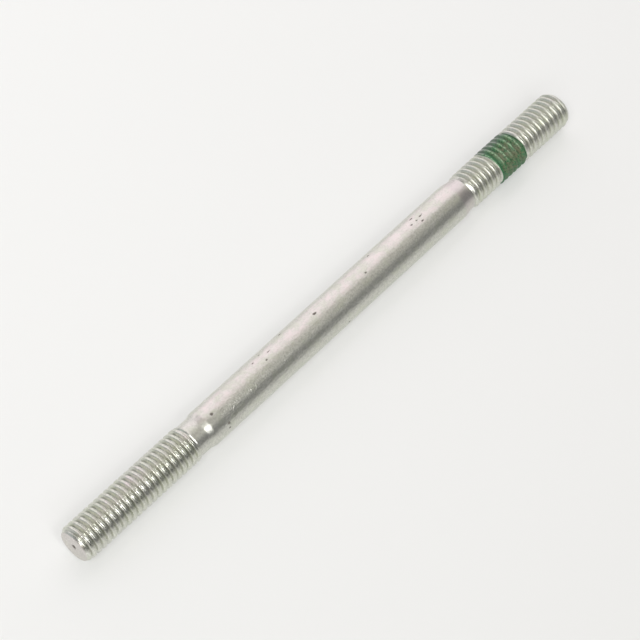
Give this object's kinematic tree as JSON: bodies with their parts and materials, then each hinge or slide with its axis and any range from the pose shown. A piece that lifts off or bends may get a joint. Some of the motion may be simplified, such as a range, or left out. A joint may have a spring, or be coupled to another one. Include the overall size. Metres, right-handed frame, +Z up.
{
  "type": "cylinder stud",
  "caption": "Straight stud with a plain cylindrical shank, a metric screw thread at each end, and a band of dried green thread-lock round one thread.",
  "frame": {"origin": "the middle of the stud's length, on the surface that it lies on", "axes": "+X along the stud towards the end with the thread-lock, +Z up, square to the surface that it lies on"},
  "size_m": [0.1056, 0.006, 0.0061],
  "materials": {
    "zinc_plated_steel": "satin, bright zinc plate",
    "dried_thread_lock": "matt, uneven"
  },
  "bodies": {
    "root": {"stud": "zinc_plated_steel", "thread_lock_coat": "dried_thread_lock"}
  },
  "joints": []
}
